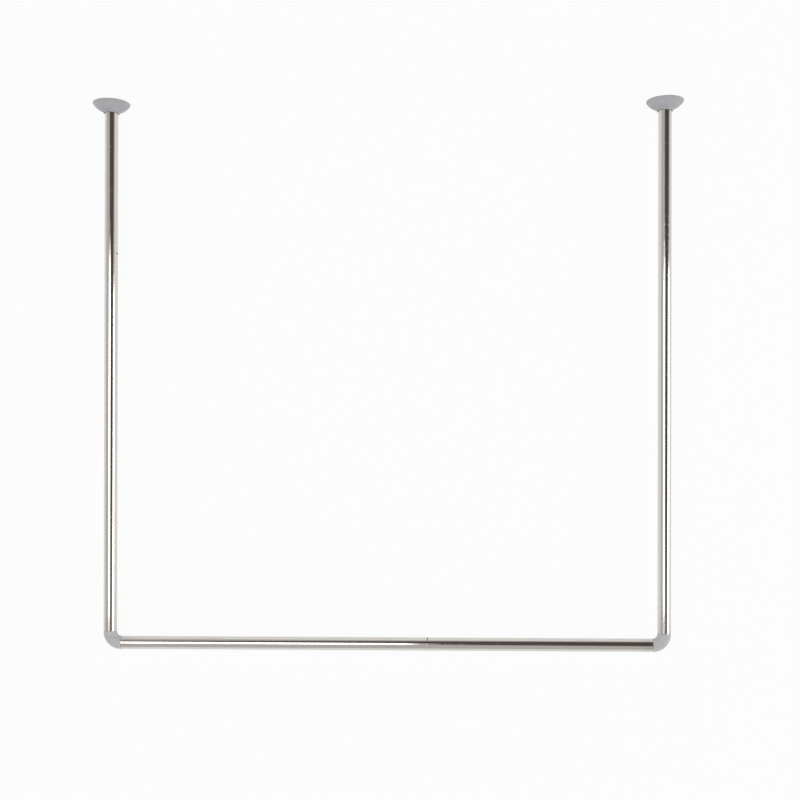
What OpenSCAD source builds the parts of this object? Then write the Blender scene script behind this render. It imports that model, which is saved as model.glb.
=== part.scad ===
// U-shaped rod for a shower curtain: three round metal tubes, joined by two moulded elbows
// and held to the wall by two moulded flanges.
// X runs along the front tube, +Y points at the wall and +Z is up.
// The flanges touch the wall at Y = 0, and the centre lines of all tubes lie at Z = 0.

/* [Frame] */
// Distance between the centre lines of the two legs
leg_spacing = 800; // [600:1:1000]
// Distance from the wall to the centre line of the front tube
wall_reach = 782; // [500:1:1000]

/* [Tubes] */
// Outer diameter of the tubes
tube_d = 19; // [16:0.5:25]
// Wall thickness of the tubes
tube_wall = 0.8; // [0.6:0.1:1.5]
// Bevel around the outer edge of a cut tube end
tube_bevel = 0.25; // [0.1:0.05:0.4]

/* [Elbows] */
// Radius of the elbow's centre line
bend_r = 16; // [13:0.5:60]
// Length of the straight collar at each end of the elbow
collar_len = 1; // [0.6:0.1:10]
// Bevel around the outer edge of each collar
collar_bevel = 0.25; // [0.1:0.05:0.5]

/* [Plugs of the elbows] */
// Length of the plug that goes into a tube
plug_len = 28; // [16:1:60]
// Clearance between the plug and the bore of the tube, on the radius
plug_gap = 0.7; // [0.3:0.1:1]
// Wall thickness of the hollow plug
plug_wall = 2; // [1.2:0.1:3]
// Length of the tapered nose of the plug
nose_len = 4; // [2:0.5:6]
// How much the radius shrinks along the nose
nose_drop = 0.9; // [0.3:0.1:1]
// Number of grip ribs around a plug
rib_count = 6; // [3:1:10]
// Width of a grip rib
rib_w = 1.6; // [0.8:0.1:2]
// Clearance between a grip rib and the bore of the tube, on the radius
rib_gap = 0.03; // [0:0.01:0.1]
// Plain length between the last grip rib's end and the nose
rib_setback = 3; // [1:0.5:6]

/* [Flanges] */
// Outer diameter of the flange
flange_d = 53; // [46:1:80]
// Height of the straight edge around the rim
rim_h = 1.2; // [0.6:0.1:2.5]
// Height at which the dome meets the neck
dome_h = 12; // [10:0.5:20]
// Radius of the dome's arc, seen in section
dome_r = 27; // [24:1:120]
// How far the neck stands above the dome
neck_rise = 2.5; // [2:0.1:8]
// Wall thickness of the neck
neck_wall = 1.9; // [1.4:0.1:3]
// Rounding of the neck's mouth
lip_r = 0.7; // [0.3:0.1:1]
// Radius of the fillet at the foot of the neck
foot_r = 1.2; // [0.4:0.1:1.5]
// Lead-in bevel inside the neck's mouth
mouth_bevel = 0.6; // [0.2:0.1:0.9]
// Clearance between the socket and the tube, on the radius
socket_gap = 0.15; // [0.05:0.05:0.5]
// Thickness of the floor that the tube stands on
floor_t = 4; // [3:0.5:6]

/* [Back of the flanges] */
// Thickness of the dome's shell
shell_t = 1.8; // [1.2:0.1:2.5]
// Width of the flat ring that touches the wall around the rim
rim_w = 2; // [1.2:0.1:4]
// Number of stiffening webs behind the dome
web_count = 6; // [3:1:12]
// Thickness of a stiffening web
web_t = 1.4; // [0.8:0.1:3]
// How far the webs stay back from the wall
web_setback = 0.5; // [0.2:0.1:0.8]

/* [Screw holes] */
// Diameter of the hole for the wall screw
screw_hole_d = 4.5; // [3.5:0.1:5.5]
// Diameter of the countersink
screw_head_d = 9; // [7:0.1:10]

/* [Hidden] */
$fn = 96;
eps = 0.01;
overlap = 1;

tube_r = tube_d / 2;
bore_r = tube_r - tube_wall;
half_span = leg_spacing / 2;

// The corner of the centre lines, and where the tubes end short of it
corner_cut = bend_r + collar_len;
leg_start = floor_t;
leg_len = wall_reach - corner_cut - leg_start;
front_len = leg_spacing - 2 * corner_cut;

plug_r = bore_r - plug_gap;
core_r = plug_r - plug_wall;
rib_r = bore_r - rib_gap;
rib_len = plug_len - nose_len - rib_setback;

flange_r = flange_d / 2;
socket_r = tube_r + socket_gap;
neck_r = socket_r + neck_wall;
neck_h = dome_h + neck_rise;

// Centre of the dome's arc, from the rim's top edge, the foot of the neck and the arc's radius
chord = [neck_r - flange_r, dome_h - rim_h];
chord_len = norm(chord);
chord_mid = [flange_r, rim_h] + chord / 2;
dome_drop = sqrt(pow(dome_r, 2) - pow(chord_len / 2, 2));
dome_c = chord_mid + [-chord[1], chord[0]] / chord_len * dome_drop;

// Centre of the fillet's arc, which touches the side of the neck and the dome
foot_x = neck_r + foot_r;
foot_y = dome_c[1] + sqrt(pow(dome_r + foot_r, 2) - pow(foot_x - dome_c[0], 2));
foot_touch = dome_c + ([foot_x, foot_y] - dome_c) * dome_r / (dome_r + foot_r);

sink_depth = (screw_head_d - screw_hole_d) / 2;

METAL = "#9f9a94";
PLASTIC_GREY = "#b4b4b6";

// A tube along +Z that starts at the origin, with both outer edges bevelled
module tube(len) {
    difference() {
        union() {
            cylinder(h = tube_bevel, r1 = tube_r - tube_bevel, r2 = tube_r);
            translate([0, 0, tube_bevel])
                cylinder(h = len - 2 * tube_bevel, r = tube_r);
            translate([0, 0, len - tube_bevel])
                cylinder(h = tube_bevel, r1 = tube_r, r2 = tube_r - tube_bevel);
        }
        translate([0, 0, -overlap])
            cylinder(h = len + 2 * overlap, r = bore_r);
    }
}

// The outside of a plug along +Z: a straight barrel with a tapered nose
module plug_barrel() {
    translate([0, 0, -overlap])
        cylinder(h = plug_len - nose_len + overlap, r = plug_r);
    translate([0, 0, plug_len - nose_len])
        cylinder(h = nose_len, r1 = plug_r, r2 = plug_r - nose_drop);
}

// The grip ribs of a plug, whose outer faces follow the bore of the tube
module plug_ribs() {
    intersection() {
        union() {
            cylinder(h = rib_len - (rib_r - plug_r), r = rib_r);
            translate([0, 0, rib_len - (rib_r - plug_r)])
                cylinder(h = rib_r - plug_r, r1 = rib_r, r2 = plug_r);
        }
        union() {
            for (i = [0 : rib_count - 1])
                rotate([0, 0, i * 360 / rib_count])
                    translate([plug_r - plug_wall / 2, -rib_w / 2, -overlap])
                        cube([plug_wall, rib_w, plug_len + overlap]);
        }
    }
}

// A hollow plug along +Z, with its shoulder at the origin
module plug() {
    difference() {
        union() {
            plug_barrel();
            plug_ribs();
        }
        translate([0, 0, plug_wall])
            cylinder(h = plug_len, r = core_r);
    }
}

// The short straight end of an elbow along +Z, with its outer edge bevelled
module collar() {
    cylinder(h = collar_len - collar_bevel, r = tube_r);
    translate([0, 0, collar_len - collar_bevel])
        cylinder(h = collar_bevel, r1 = tube_r, r2 = tube_r - collar_bevel);
}

// One end of an elbow along +Z: the collar, and the plug that stands on it
module elbow_end() {
    collar();
    translate([0, 0, collar_len])
        plug();
}

// An elbow with its corner at the origin and its ends towards +X and +Y
module elbow() {
    translate([bend_r, bend_r, 0])
        rotate([0, 0, 180])
            rotate_extrude(angle = 90)
                translate([bend_r, 0])
                    circle(r = tube_r);
    translate([bend_r, 0, 0])
        rotate([0, 90, 0])
            elbow_end();
    translate([0, bend_r, 0])
        rotate([-90, 0, 0])
            elbow_end();
}

// The fillet between the neck and the dome, in half section
module neck_foot() {
    difference() {
        polygon([
            [neck_r - eps, foot_y],
            [foot_x, foot_y],
            foot_touch,
            [neck_r - eps, foot_touch[1] - eps]
        ]);
        translate([foot_x, foot_y])
            circle(r = foot_r);
    }
}

// Half section of the flange without its hollows: X is the radius and Y the height above the wall
module flange_outline() {
    intersection() {
        translate(dome_c)
            circle(r = dome_r, $fn = 360);
        square([flange_r, dome_h + overlap]);
    }
    square([flange_r, rim_h]);
    square([neck_r, neck_h - lip_r]);
    square([neck_r - lip_r, neck_h]);
    translate([neck_r - lip_r, neck_h - lip_r])
        circle(r = lip_r);
    neck_foot();
}

// Half section of the hollow between the dome's shell and the socket
module back_hollow() {
    intersection() {
        translate(dome_c)
            circle(r = dome_r - shell_t, $fn = 360);
        translate([neck_r, -overlap])
            square([flange_r - rim_w - neck_r, dome_h + overlap]);
    }
}

// The webs between the socket and the rim, cut to the outline of the dome
module back_webs() {
    intersection() {
        rotate_extrude()
            intersection() {
                flange_outline();
                translate([socket_r + neck_wall / 2, web_setback])
                    square([flange_r - rim_w / 2 - socket_r - neck_wall / 2, dome_h - shell_t / 2]);
            }
        for (i = [0 : web_count - 1])
            rotate([0, 0, (i + 0.5) * 360 / web_count])
                translate([0, -web_t / 2, 0])
                    cube([flange_r, web_t, dome_h]);
    }
}

// A flange along +Z that stands on the wall at the origin
module flange() {
    difference() {
        union() {
            rotate_extrude()
                difference() {
                    flange_outline();
                    back_hollow();
                }
            back_webs();
        }
        translate([0, 0, floor_t])
            cylinder(h = neck_h, r = socket_r);
        translate([0, 0, neck_h - mouth_bevel])
            cylinder(h = mouth_bevel + eps, r1 = socket_r, r2 = socket_r + mouth_bevel + eps);
        translate([0, 0, -overlap])
            cylinder(h = floor_t + 2 * overlap, d = screw_hole_d);
        translate([0, 0, floor_t - sink_depth])
            cylinder(h = sink_depth + eps, d1 = screw_hole_d, d2 = screw_head_d + 2 * eps);
    }
}

// side is -1 for the left leg and 1 for the right one
module place_flange(side) {
    color(PLASTIC_GREY)
        translate([side * half_span, 0, 0])
            rotate([90, 0, 0])
                flange();
}

module place_leg(side) {
    color(METAL)
        translate([side * half_span, -leg_start, 0])
            rotate([90, 0, 0])
                tube(leg_len);
}

module place_elbow(side) {
    color(PLASTIC_GREY)
        translate([side * half_span, -wall_reach, 0])
            mirror([side > 0 ? 1 : 0, 0, 0])
                elbow();
}

module left_flange() { place_flange(-1); }
module right_flange() { place_flange(1); }
module left_leg_tube() { place_leg(-1); }
module right_leg_tube() { place_leg(1); }
module left_elbow() { place_elbow(-1); }
module right_elbow() { place_elbow(1); }

module front_tube() {
    color(METAL)
        translate([-front_len / 2, -wall_reach, 0])
            rotate([0, 90, 0])
                tube(front_len);
}

left_flange();
right_flange();
left_leg_tube();
right_leg_tube();
front_tube();
left_elbow();
right_elbow();
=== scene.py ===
import math

import bmesh
import bpy
from mathutils import Euler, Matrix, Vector


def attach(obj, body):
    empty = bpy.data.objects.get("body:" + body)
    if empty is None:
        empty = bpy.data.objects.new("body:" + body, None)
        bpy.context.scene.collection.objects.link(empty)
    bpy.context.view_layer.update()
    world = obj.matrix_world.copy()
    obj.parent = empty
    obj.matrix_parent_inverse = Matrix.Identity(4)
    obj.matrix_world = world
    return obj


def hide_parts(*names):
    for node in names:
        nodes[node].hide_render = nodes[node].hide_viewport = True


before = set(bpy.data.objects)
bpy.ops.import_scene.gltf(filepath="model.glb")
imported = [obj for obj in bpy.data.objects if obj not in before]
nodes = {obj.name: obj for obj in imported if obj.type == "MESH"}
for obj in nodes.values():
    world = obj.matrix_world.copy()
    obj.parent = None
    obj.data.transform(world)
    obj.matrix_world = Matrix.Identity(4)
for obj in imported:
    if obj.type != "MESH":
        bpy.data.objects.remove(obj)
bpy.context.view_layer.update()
print("frame loaded:", ", ".join(sorted(nodes)))


# small helpers

def softStep(low, high, value):
    share = min(max((value - low) / (high - low), 0.0), 1.0)
    return share * share * (3.0 - 2.0 * share)


def addObject(name, mesh):
    obj = bpy.data.objects.new(name, mesh)
    bpy.context.scene.collection.objects.link(obj)
    return obj


# camera: straight above the rod, as in the photo

cameraPose = {
    "place": (0.0544, -0.5307, 1.6),
    "turn": (0.093, 1.228, 0.123),    # degrees about X, Y and Z
    "lens": 49.88,
    "sensor": 36.0,
    "shiftUp": 0.085,                 # the photo is cut off-centre from a taller frame
}


def makeCamera(pose):
    lens = bpy.data.cameras.new("camera")
    lens.sensor_width = pose["sensor"]
    lens.lens = pose["lens"]
    lens.shift_y = pose["shiftUp"]
    camera = bpy.data.objects.new("camera", lens)
    camera.location = pose["place"]
    camera.rotation_euler = Euler([math.radians(a) for a in pose["turn"]], "XYZ")
    bpy.context.scene.collection.objects.link(camera)
    bpy.context.scene.camera = camera
    return camera


makeCamera(cameraPose)
print("camera made")


# shader building

def newMaterial(name):
    material = bpy.data.materials.new(name)
    material.use_nodes = True
    material.node_tree.nodes.clear()
    return material


class Tree:
    # a short way to add nodes and links to a material or group

    def __init__(self, tree):
        self.tree = tree
        self.column = 0

    def add(self, kind, settings=None, **inputs):
        node = self.tree.nodes.new("ShaderNode" + kind)
        self.column += 1
        node.location = (220 * (self.column % 12), -260 * (self.column // 12))
        for key, value in (settings or {}).items():
            setattr(node, key, value)
        for key, value in inputs.items():
            self.put(node, key, value)
        return node

    def put(self, node, key, value):
        socket = node.inputs[int(key[1:])] if key[0] == "i" and key[1:].isdigit() else None
        if socket is None:
            wanted = key.replace("_", " ").lower()
            socket = next(s for s in node.inputs if s.name.lower() == wanted and s.enabled)
        if isinstance(value, bpy.types.NodeSocket):
            self.tree.links.new(value, socket)
        else:
            socket.default_value = value

    def math(self, operation, a, b=None, c=None, clamp=False):
        given = {"i0": a}
        if b is not None:
            given["i1"] = b
        if c is not None:
            given["i2"] = c
        return self.add("Math", {"operation": operation, "use_clamp": clamp}, **given).outputs[0]

    def remap(self, value, fromMin, fromMax, toMin, toMax, smooth=False):
        kind = "SMOOTHSTEP" if smooth else "LINEAR"
        node = self.add("MapRange", {"interpolation_type": kind, "clamp": True}, Value=value,
                        From_Min=fromMin, From_Max=fromMax, To_Min=toMin, To_Max=toMax)
        return node.outputs["Result"]

    def mixColour(self, share, a, b, kind="MIX"):
        node = self.add("Mix", {"data_type": "RGBA", "blend_type": kind})
        for index, value in ((0, share), (6, a), (7, b)):
            if isinstance(value, bpy.types.NodeSocket):
                self.tree.links.new(value, node.inputs[index])
            elif index == 0:
                node.inputs[0].default_value = value
            else:
                node.inputs[index].default_value = (*value[:3], 1.0)
        return node.outputs[2]

    def noise(self, vector, scale, detail=2.0, roughness=0.5, distortion=0.0):
        node = self.add("TexNoise", None, Vector=vector, Scale=scale, Detail=detail,
                        Roughness=roughness, Distortion=distortion)
        return node.outputs[0]

    def stretch(self, vector, scale, turn=(0.0, 0.0, 0.0)):
        return self.add("Mapping", None, Vector=vector, Scale=scale, Rotation=turn).outputs[0]


def newGroup(name, inputs, outputs):
    group = bpy.data.node_groups.new(name, "ShaderNodeTree")
    for label, kind, value in inputs:
        socket = group.interface.new_socket(label, in_out="INPUT", socket_type=kind)
        if value is not None:
            socket.default_value = value
    for label, kind in outputs:
        group.interface.new_socket(label, in_out="OUTPUT", socket_type=kind)
    tree = Tree(group)
    start = group.nodes.new("NodeGroupInput")
    end = group.nodes.new("NodeGroupOutput")
    return tree, start, end


def placeGroup(tree, name, **inputs):
    node = tree.tree.nodes.new("ShaderNodeGroup")
    node.node_tree = bpy.data.node_groups[name]
    for key, value in inputs.items():
        tree.put(node, key, value)
    return node


# handling marks: broad smudges and fine hairline scratches, for metal and plastic

def makeHandlingMarks():
    tree, start, end = newGroup(
        "handlingMarks",
        [("Vector", "NodeSocketVector", None), ("Smudge Scale", "NodeSocketFloat", 60.0),
         ("Scratch Scale", "NodeSocketFloat", 300.0)],
        [("Smudge", "NodeSocketFloat"), ("Scratch", "NodeSocketFloat")])
    vector = start.outputs["Vector"]
    broad = tree.noise(vector, start.outputs["Smudge Scale"], 4.0, 0.6, 0.4)
    smudge = tree.remap(broad, 0.42, 0.72, 0.0, 1.0, smooth=True)
    hairs = []
    for turn, thin in (((0.3, 0.2, 0.5), (1.0, 0.05, 0.6)), ((1.1, 0.7, 2.0), (0.06, 1.0, 0.7))):
        turned = tree.stretch(vector, thin, turn)
        lines = tree.noise(turned, start.outputs["Scratch Scale"], 2.0, 0.55)
        hairs.append(tree.remap(lines, 0.66, 0.7, 0.0, 1.0))
    scratch = tree.math("MAXIMUM", hairs[0], hairs[1])
    tree.tree.links.new(smudge, end.inputs["Smudge"])
    tree.tree.links.new(scratch, end.inputs["Scratch"])


# moulded skin: the fine spark grain of a mould, and the cloudy tone of its plastic

def makeMouldedSkin():
    tree, start, end = newGroup(
        "mouldedSkin",
        [("Vector", "NodeSocketVector", None), ("Grain Scale", "NodeSocketFloat", 2200.0),
         ("Cloud Scale", "NodeSocketFloat", 70.0)],
        [("Grain", "NodeSocketFloat"), ("Cloud", "NodeSocketFloat")])
    vector = start.outputs["Vector"]
    cells = tree.add("TexVoronoi", {"feature": "SMOOTH_F1"}, Vector=vector,
                     Scale=start.outputs["Grain Scale"], Smoothness=0.6).outputs["Distance"]
    fine = tree.noise(vector, start.outputs["Grain Scale"], 3.0, 0.6)
    grain = tree.math("MULTIPLY_ADD", cells, 0.6, tree.math("MULTIPLY", fine, 0.5))
    cloud = tree.noise(vector, start.outputs["Cloud Scale"], 4.0, 0.55, 0.3)
    tree.tree.links.new(grain, end.inputs["Grain"])
    tree.tree.links.new(cloud, end.inputs["Cloud"])


makeHandlingMarks()
makeMouldedSkin()
print("shader groups made")


# polished metal of the tubes

tubeFinish = {
    "colour": (0.66, 0.63, 0.6),
    "dullColour": (0.6, 0.565, 0.53),
    "nickColour": (0.05, 0.045, 0.04),
    "roughness": 0.09,
    "drawLines": 0.18,
}


def makeTubeMetal(finish):
    material = newMaterial("tubeMetal")
    tree = Tree(material.node_tree)
    drawn = tree.add("Attribute", {"attribute_name": "drawn"}).outputs["Vector"]
    nick = tree.add("Attribute", {"attribute_name": "nick"}).outputs["Fac"]
    joint = tree.add("Attribute", {"attribute_name": "joint"}).outputs["Fac"]
    marks = placeGroup(tree, "handlingMarks", Vector=drawn, Smudge_Scale=28.0, Scratch_Scale=420.0)
    smudge, scratch = marks.outputs["Smudge"], marks.outputs["Scratch"]
    lines = tree.noise(tree.stretch(drawn, (1.0, 1.0, 0.012)), 1500.0, 3.0, 0.6)
    wave = tree.noise(tree.stretch(drawn, (1.0, 1.0, 0.35)), 45.0, 2.0, 0.5)
    dull = tree.math("MULTIPLY_ADD", smudge, 0.35, tree.math("MULTIPLY", joint, 0.6), clamp=True)
    colour = tree.mixColour(dull, finish["colour"], finish["dullColour"])
    colour = tree.mixColour(tree.math("MULTIPLY", nick, 0.92), colour, finish["nickColour"])
    rough = tree.math("MULTIPLY_ADD", smudge, 0.05, finish["roughness"])
    rough = tree.math("MULTIPLY_ADD", scratch, 0.12, rough)
    rough = tree.math("MULTIPLY_ADD", nick, 0.4, rough)
    height = tree.math("MULTIPLY_ADD", lines, finish["drawLines"], tree.math("MULTIPLY", wave, 1.0))
    height = tree.math("MULTIPLY_ADD", scratch, -0.1, height)
    bump = tree.add("Bump", None, Strength=0.6, Distance=0.00003, Height=height)
    shader = tree.add("BsdfPrincipled", None, Base_Color=colour, Metallic=1.0, Roughness=rough,
                      Normal=bump.outputs[0])
    output = tree.add("OutputMaterial")
    tree.tree.links.new(shader.outputs[0], output.inputs["Surface"])
    return material


# satin plastic of the elbows and flanges

elbowFinish = {
    "name": "elbowPlastic",
    "pale": (0.62, 0.62, 0.625),
    "deep": (0.545, 0.545, 0.555),
    "rub": (0.66, 0.66, 0.66),
    "roughness": 0.42,
    "grain": 0.35,
}

flangeFinish = {
    "name": "flangePlastic",
    "pale": (0.49, 0.49, 0.505),
    "deep": (0.42, 0.42, 0.44),
    "rub": (0.6, 0.6, 0.61),
    "roughness": 0.4,
    "grain": 0.35,
}


def makePlastic(finish):
    material = newMaterial(finish["name"])
    tree = Tree(material.node_tree)
    place = tree.add("TexCoord").outputs["Object"]
    skin = placeGroup(tree, "mouldedSkin", Vector=place, Grain_Scale=2400.0, Cloud_Scale=75.0)
    marks = placeGroup(tree, "handlingMarks", Vector=place, Smudge_Scale=90.0, Scratch_Scale=500.0)
    grain, cloud = skin.outputs["Grain"], skin.outputs["Cloud"]
    smudge, scratch = marks.outputs["Smudge"], marks.outputs["Scratch"]
    tone = tree.remap(cloud, 0.3, 0.7, 0.0, 1.0)
    colour = tree.mixColour(tone, finish["deep"], finish["pale"])
    colour = tree.mixColour(tree.math("MULTIPLY", scratch, 0.35), colour, finish["rub"])
    rough = tree.math("MULTIPLY_ADD", smudge, 0.08, finish["roughness"])
    rough = tree.math("MULTIPLY_ADD", scratch, 0.1, rough)
    height = tree.math("MULTIPLY_ADD", scratch, -0.3, tree.math("MULTIPLY", grain, finish["grain"]))
    bump = tree.add("Bump", None, Strength=0.5, Distance=0.00004, Height=height)
    shader = tree.add("BsdfPrincipled", None, Base_Color=colour, Roughness=rough,
                      Normal=bump.outputs[0])
    output = tree.add("OutputMaterial")
    tree.tree.links.new(shader.outputs[0], output.inputs["Surface"])
    return material


tubeMetal = makeTubeMetal(tubeFinish)
elbowPlastic = makePlastic(elbowFinish)
flangePlastic = makePlastic(flangeFinish)
for nodeName, material in (("left_elbow", elbowPlastic), ("right_elbow", elbowPlastic),
                           ("left_flange", flangePlastic), ("right_flange", flangePlastic)):
    for slot in nodes[nodeName].material_slots:
        slot.material = material
print("materials made")


# tubes: drawn metal, with bevelled ends and an open bore

tubeShape = {
    "outerRadius": 0.0095,
    "boreRadius": 0.0087,
    "bevel": 0.00025,
    "sidesAround": 160,
    "ringStep": 0.005,
    "nickDepth": 0.00006,
}

# side is the direction that the angles of marks turn to, from straight up
tubeRuns = {
    "leftLegTube": {
        "node": "left_leg_tube",
        "start": (-0.4, -0.004, 0.0), "end": (-0.4, -0.765, 0.0), "side": (1.0, 0.0, 0.0),
        "marks": [{"at": 0.214, "long": 0.0011, "angles": (62.0, 112.0), "depth": 1.0}],
    },
    "rightLegTube": {
        "node": "right_leg_tube",
        "start": (0.4, -0.004, 0.0), "end": (0.4, -0.765, 0.0), "side": (1.0, 0.0, 0.0),
        "marks": [{"at": 0.208, "long": 0.0007, "angles": (-104.0, -72.0), "depth": 0.3}],
    },
    "frontTube": {
        "node": "front_tube",
        "start": (-0.383, -0.782, 0.0), "end": (0.383, -0.782, 0.0), "side": (0.0, 1.0, 0.0),
        "marks": [{"at": 0.443, "long": 0.0009, "angles": (44.0, 84.0), "depth": 1.0},
                  {"at": 0.13, "long": 0.0007, "angles": (60.0, 95.0), "depth": 0.2}],
    },
}


def markAmount(marks, along, angle):
    amount = 0.0
    for mark in marks:
        low, high = mark["angles"]
        across = softStep(low - 6.0, low, angle) * (1.0 - softStep(high, high + 6.0, angle))
        near = 1.0 - softStep(0.35, 1.0, abs(along - mark["at"]) / mark["long"])
        amount = max(amount, across * near * mark["depth"])
    return amount


def ringPlaces(length, shape, marks):
    count = int(round(length / shape["ringStep"]))
    places = {round(length * i / count, 6) for i in range(1, count)}
    for mark in marks:
        for i in range(-8, 9):
            places.add(round(mark["at"] + mark["long"] * i / 6.0, 6))
    return sorted(places)


def buildTube(name, run, shape):
    start, end, side = Vector(run["start"]), Vector(run["end"]), Vector(run["side"])
    length = (end - start).length
    axis = (end - start) / length
    up = Vector((0.0, 0.0, 1.0))
    outer, bore, bevel = shape["outerRadius"], shape["boreRadius"], shape["bevel"]
    inner = ringPlaces(length, shape, run["marks"])
    skin = [(bevel, outer)] + [(p, outer) for p in inner if bevel < p < length - bevel]
    skin.append((length - bevel, outer))
    # outside from start to end, then back through the bore
    profile = [(0.0, outer - bevel)] + skin + [(length, outer - bevel), (length, bore)]
    profile += [(length * (1.0 - i / 24.0), bore) for i in range(1, 24)] + [(0.0, bore)]
    sides = shape["sidesAround"]
    mesh = bpy.data.meshes.new(name)
    build = bmesh.new()
    drawn = build.verts.layers.float_vector.new("drawn")
    nick = build.verts.layers.float.new("nick")
    joint = build.verts.layers.float.new("joint")
    rings = []
    for along, radius in profile:
        ring = []
        for i in range(sides):
            turn = 2.0 * math.pi * i / sides
            angle = math.degrees(turn) if turn <= math.pi else math.degrees(turn) - 360.0
            amount = markAmount(run["marks"], along, angle) if radius == outer else 0.0
            reach = radius - shape["nickDepth"] * amount
            across, rise = reach * math.sin(turn), reach * math.cos(turn)
            vert = build.verts.new(start + axis * along + side * across + up * rise)
            vert[drawn] = Vector((across, rise, along))
            vert[nick] = amount
            fromEnd = min(along, length - along)
            vert[joint] = 1.0 - softStep(0.004, 0.03, fromEnd)
            ring.append(vert)
        rings.append(ring)
    # the faces look outwards whichever way the side points
    flip = axis.cross(side).dot(up) > 0.0
    for a, b in zip(rings, rings[1:] + rings[:1]):
        for i in range(sides):
            j = (i + 1) % sides
            corners = (a[i], a[j], b[j], b[i])
            build.faces.new(corners if flip else corners[::-1])
    build.to_mesh(mesh)
    build.free()
    for polygon in mesh.polygons:
        polygon.use_smooth = True
    mesh.set_sharp_from_angle(angle=math.radians(30.0))
    mesh.materials.append(tubeMetal)
    obj = addObject(name, mesh)
    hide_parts(run["node"])
    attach(obj, "root")
    return obj


tubes = {name: buildTube(name, run, tubeShape) for name, run in tubeRuns.items()}
print("tubes made:", ", ".join(tubes))


# floor, which keeps the shadow and shows white

floorLook = {
    "height": -0.0267,
    "size": 14.0,
    "colour": (0.85, 0.85, 0.85),
    "glow": 0.93,
}


def whiteRays(tree):
    # one for rays from the camera, a mirror or through glass
    path = tree.add("LightPath")
    seen = tree.math("MAXIMUM", path.outputs["Is Camera Ray"], path.outputs["Is Glossy Ray"])
    return tree.math("MAXIMUM", seen, path.outputs["Is Transmission Ray"])


def buildFloor(look):
    mesh = bpy.data.meshes.new("floor")
    build = bmesh.new()
    bmesh.ops.create_grid(build, x_segments=4, y_segments=4, size=look["size"] / 2.0)
    build.to_mesh(mesh)
    build.free()
    material = newMaterial("floorPaper")
    tree = Tree(material.node_tree)
    paper = tree.add("BsdfDiffuse", None, Color=(*look["colour"], 1.0))
    glow = tree.add("Emission", None, Color=(1.0, 1.0, 1.0, 1.0), Strength=1.0)
    share = tree.math("MULTIPLY", whiteRays(tree), look["glow"])
    surface = tree.add("MixShader")
    tree.tree.links.new(share, surface.inputs[0])
    tree.tree.links.new(paper.outputs[0], surface.inputs[1])
    tree.tree.links.new(glow.outputs[0], surface.inputs[2])
    output = tree.add("OutputMaterial")
    tree.tree.links.new(surface.outputs[0], output.inputs["Surface"])
    mesh.materials.append(material)
    floor = addObject("floor", mesh)
    floor.location = (0.0, -0.4, look["height"])
    return floor


buildFloor(floorLook)
print("floor made")


# lamps and world: a softbox high on the left, a larger one on the right, in a pale room with a
# dark stretch of ceiling; they stand still, and every ray sees the same room

lamps = {
    "overheadLamp": {"place": (-0.93, -0.38, 3.57), "aim": (-0.93, -0.38, 0.0), "size": (1.85, 1.65),
                     "power": 29.0, "colour": (1.0, 0.99, 0.975)},
    "sideLamp": {"place": (3.8, -0.6, 1.95), "aim": (0.0, -0.6, 0.0), "size": (2.1, 2.1),
                 "power": 42.0, "colour": (1.0, 1.0, 1.0)},
}

roomLook = {
    "horizon": (1.0, 1.0, 1.0),
    "wall": (0.6, 0.6, 0.61),
    "ceiling": (0.1, 0.088, 0.08),
    "whiteUpTo": 9.0,                 # degrees above the horizon
    "wallFrom": 18.0,
    "ceilingTowards": (0.32, 0.42, 0.85),
    "ceilingWithin": (26.0, 44.0),    # degrees from that direction: all dark, and no longer dark
}


def buildLamp(name, plan):
    light = bpy.data.lights.new(name, "AREA")
    light.shape = "RECTANGLE"
    light.size, light.size_y = plan["size"]
    light.energy = plan["power"]
    light.color = plan["colour"]
    lamp = bpy.data.objects.new(name, light)
    lamp.location = plan["place"]
    aim = Vector(plan["aim"]) - Vector(plan["place"])
    lamp.rotation_euler = aim.to_track_quat("-Z", "Y").to_euler()
    bpy.context.scene.collection.objects.link(lamp)
    return lamp


def buildWorld(look):
    world = bpy.data.worlds.new("studio")
    world.use_nodes = True
    world.node_tree.nodes.clear()
    tree = Tree(world.node_tree)
    towards = tree.add("TexCoord").outputs["Generated"]
    height = tree.add("SeparateXYZ", None, Vector=towards).outputs["Z"]
    low, high = (math.sin(math.radians(look[key])) for key in ("whiteUpTo", "wallFrom"))
    room = tree.mixColour(tree.remap(height, low, high, 0.0, 1.0, smooth=True),
                          look["horizon"], look["wall"])
    middle = Vector(look["ceilingTowards"]).normalized()
    near = tree.add("VectorMath", {"operation": "DOT_PRODUCT"}, i0=towards, i1=middle)
    inner, outer = (math.cos(math.radians(angle)) for angle in look["ceilingWithin"])
    dark = tree.remap(near.outputs["Value"], outer, inner, 0.0, 1.0, smooth=True)
    room = tree.mixColour(dark, room, look["ceiling"])
    light = tree.add("Background", None, Color=room, Strength=1.0)
    output = tree.add("OutputWorld")
    tree.tree.links.new(light.outputs[0], output.inputs["Surface"])
    bpy.context.scene.world = world


for lampName, plan in lamps.items():
    buildLamp(lampName, plan)
buildWorld(roomLook)
bpy.context.scene.view_settings.view_transform = "Standard"
print("lamps and world made")
